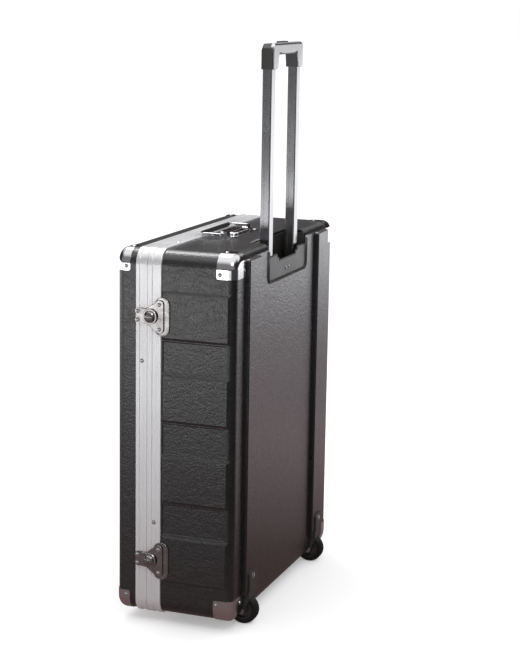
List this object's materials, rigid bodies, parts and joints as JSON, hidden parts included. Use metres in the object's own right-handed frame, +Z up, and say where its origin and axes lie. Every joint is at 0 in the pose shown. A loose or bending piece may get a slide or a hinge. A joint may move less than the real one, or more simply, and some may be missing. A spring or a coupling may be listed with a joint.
{
  "type": "hard equipment case",
  "caption": "Tall wheeled hard case for equipment: moulded halves joined by an aluminium rim, with twist latches, chromed corner caps, a carrying handle and a pull-out trolley handle.",
  "frame": {"origin": "on the floor, under the middle of the whole outline: half-way from the hinges to the latches, and from the lid's front to the back of the wheels", "axes": "+Z up; +X across the width towards the latches, -X towards the hinges; -Y out of the lid's face, +Y towards the wheels and the trolley handle"},
  "size_m": [0.6184, 0.2734, 1.1505],
  "materials": {
    "black_shell": "fine leather grain, semi-gloss",
    "rim_aluminium": "satin anodised",
    "gasket": "soft",
    "chrome": "polished",
    "latch_steel": "nickel-plated, satin polish",
    "moulded_black": "fine texture",
    "steel": "zinc-plated",
    "tube_silver": "satin anodised",
    "fascia_silver": "silver, satin",
    "rubber_black": "matte",
    "tyre_black": "matte",
    "foam": "open-cell foam, matte",
    "board": "covered board"
  },
  "bodies": {
    "case_base": {"base_shell": "black_shell", "base_rim": "rim_aluminium", "rim_gasket": "gasket", "base_corner_cap_1": "chrome", "base_corner_cap_2": "chrome", "base_corner_cap_3": "chrome", "base_corner_cap_4": "chrome", "base_rivets": "chrome", "latch_backing_1": "latch_steel", "latch_backing_2": "latch_steel", "latch_body_1": "latch_steel", "latch_body_2": "latch_steel", "hinge_base_leaf_1": "latch_steel", "hinge_base_leaf_2": "latch_steel", "hinge_pins": "latch_steel", "trolley_housing": "moulded_black", "trolley_bezel": "moulded_black", "bezel_screws": "steel", "guide_tube_1": "steel", "guide_tube_2": "steel", "guide_bar": "moulded_black", "liner_board": "board", "wheel_bracket_1": "moulded_black", "wheel_bracket_2": "moulded_black", "wheel_axles": "steel", "foot_1": "rubber_black", "foot_2": "rubber_black", "foot_screws": "steel", "handle_plate": "chrome", "base_foam": "foam"},
    "case_lid": {"lid_shell": "black_shell", "lid_rim": "rim_aluminium", "lid_corner_cap_1": "chrome", "lid_corner_cap_2": "chrome", "lid_corner_cap_3": "chrome", "lid_corner_cap_4": "chrome", "lid_rivets": "chrome", "keeper_1": "latch_steel", "keeper_2": "latch_steel", "hinge_lid_leaf_1": "latch_steel", "hinge_lid_leaf_2": "latch_steel", "lid_foam": "foam"},
    "trolley": {"trolley_tube_1": "tube_silver", "trolley_tube_2": "tube_silver", "grip_body": "moulded_black", "grip_fascia": "fascia_silver"},
    "release": {"release_button": "moulded_black", "release_linkage": "steel"},
    "wheel_right": {"wheel_tyre_1": "tyre_black", "wheel_hub_1": "moulded_black"},
    "wheel_left": {"wheel_tyre_2": "tyre_black", "wheel_hub_2": "moulded_black"},
    "latch_top_hub": {"latch_hub_1": "latch_steel"},
    "latch_top_claw": {"latch_claw_1": "latch_steel"},
    "latch_low_hub": {"latch_hub_2": "latch_steel"},
    "latch_low_claw": {"latch_claw_2": "latch_steel"},
    "carry_handle": {"handle_bail": "chrome", "handle_grip": "rubber_black"}
  },
  "joints": [
    {"name": "lid_hinge", "type": "hinge", "parent": "case_base", "child": "case_lid", "pos_m": [-0.30565, -0.06775, 0.391], "axis": [0, 0, -1], "range_deg": [0, 110]},
    {"name": "trolley_slide", "type": "slide", "parent": "case_base", "child": "trolley", "axis": [0, 0, 1], "range_m": [-0.393, 0]},
    {"name": "release_press", "type": "slide", "parent": "trolley", "child": "release", "axis": [0, 0, -1], "range_m": [0, 0.004], "stiffness_N_per_m": 600},
    {"name": "wheel_right_spin", "type": "hinge", "parent": "case_base", "child": "wheel_right", "pos_m": [0.20225, 0.10675, 0.03], "axis": [1, 0, 0], "continuous": true},
    {"name": "wheel_left_spin", "type": "hinge", "parent": "case_base", "child": "wheel_left", "pos_m": [-0.21075, 0.10675, 0.03], "axis": [1, 0, 0], "continuous": true},
    {"name": "latch_top_twist", "type": "hinge", "parent": "case_base", "child": "latch_top_hub", "pos_m": [0.29975, -0.05875, 0.63], "axis": [1, 0, 0], "range_deg": [0, 180]},
    {"name": "latch_top_claw_slide", "type": "slide", "parent": "case_base", "child": "latch_top_claw", "axis": [0, -1, 0], "range_m": [0, 0.0034]},
    {"name": "latch_low_twist", "type": "hinge", "parent": "case_base", "child": "latch_low_hub", "pos_m": [0.29975, -0.05875, 0.1385], "axis": [1, 0, 0], "range_deg": [0, 180]},
    {"name": "latch_low_claw_slide", "type": "slide", "parent": "case_base", "child": "latch_low_claw", "axis": [0, -1, 0], "range_m": [0, 0.0034]},
    {"name": "carry_handle_lift", "type": "hinge", "parent": "case_base", "child": "carry_handle", "pos_m": [-0.00425, -0.00025, 0.7646], "axis": [-1, 0, 0], "range_deg": [0, 95], "stiffness_Nm_per_rad": 0.08}
  ],
  "couplings": [
    {"joint": "latch_top_claw_slide", "follows": "latch_top_twist", "m_per_rad": 0.0010823},
    {"joint": "latch_low_claw_slide", "follows": "latch_low_twist", "m_per_rad": 0.0010823}
  ]
}
